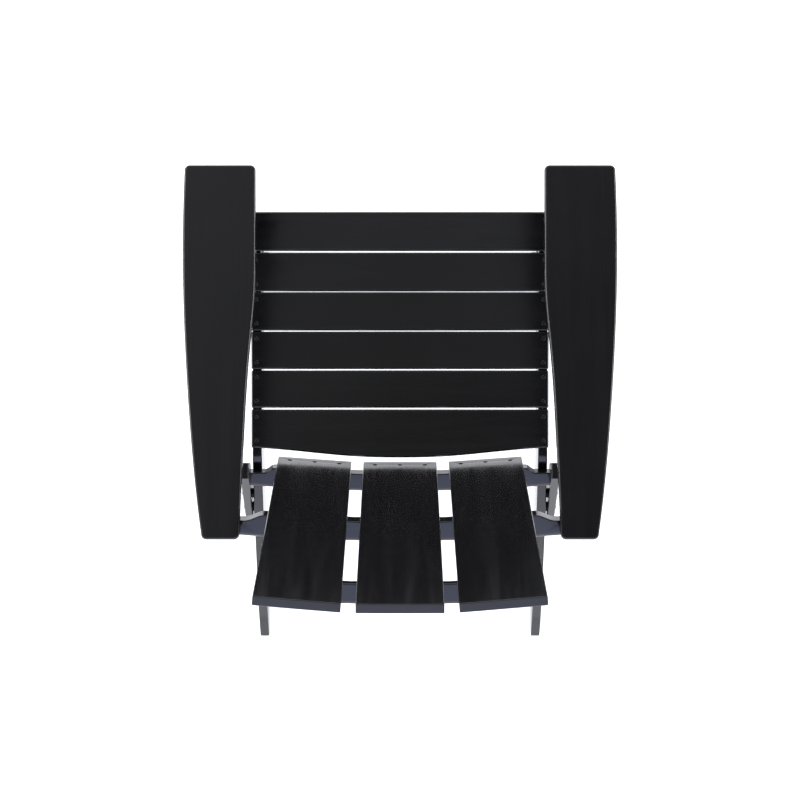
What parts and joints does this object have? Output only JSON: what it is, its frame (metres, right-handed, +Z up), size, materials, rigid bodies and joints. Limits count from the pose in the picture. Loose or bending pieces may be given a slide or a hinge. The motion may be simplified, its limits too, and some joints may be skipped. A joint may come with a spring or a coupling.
{
  "type": "adirondack chair",
  "caption": "Low reclined garden chair with a contoured slatted seat, tall fanned slat back, broad armrests and sabre-shaped side boards that run down to form the rear legs.",
  "frame": {"origin": "on the floor, in the middle of the chair's outer box seen from above", "axes": "+Z up, -Y the way the sitter faces, +X across the seat"},
  "size_m": [0.73, 0.847, 0.9585],
  "materials": {
    "painted_boards": "smooth satin black paint on planed boards",
    "painted_frame": "smooth satin black paint on planed and shaped boards",
    "blackened_steel": "black coated"
  },
  "bodies": {
    "root": {"seat_slat_1": "painted_boards", "seat_slat_2": "painted_boards", "seat_slat_3": "painted_boards", "seat_slat_4": "painted_boards", "seat_slat_5": "painted_boards", "seat_slat_6": "painted_boards", "back_slat_left": "painted_boards", "back_slat_centre": "painted_boards", "back_slat_right": "painted_boards", "lower_back_rail": "painted_frame", "middle_back_rail": "painted_frame", "upper_back_rail": "painted_frame", "front_apron": "painted_frame", "arm_left": "painted_boards", "arm_right": "painted_boards", "arm_bracket_left": "painted_frame", "arm_bracket_right": "painted_frame", "arm_cleat_left": "painted_frame", "arm_cleat_right": "painted_frame", "front_leg_left": "painted_frame", "front_leg_right": "painted_frame", "side_plate_left": "painted_frame", "side_plate_right": "painted_frame", "stringer_left": "painted_frame", "stringer_right": "painted_frame", "seat_screws": "blackened_steel", "rail_screws": "blackened_steel", "apron_screws": "blackened_steel", "arm_screws": "blackened_steel", "cleat_screws": "blackened_steel", "bracket_screws": "blackened_steel", "plate_screws": "blackened_steel", "leg_bolts": "blackened_steel", "leg_washers": "blackened_steel", "leg_nuts": "blackened_steel", "plate_bolts": "blackened_steel", "plate_spacers": "blackened_steel", "back_slat_screws": "blackened_steel"}
  },
  "joints": []
}
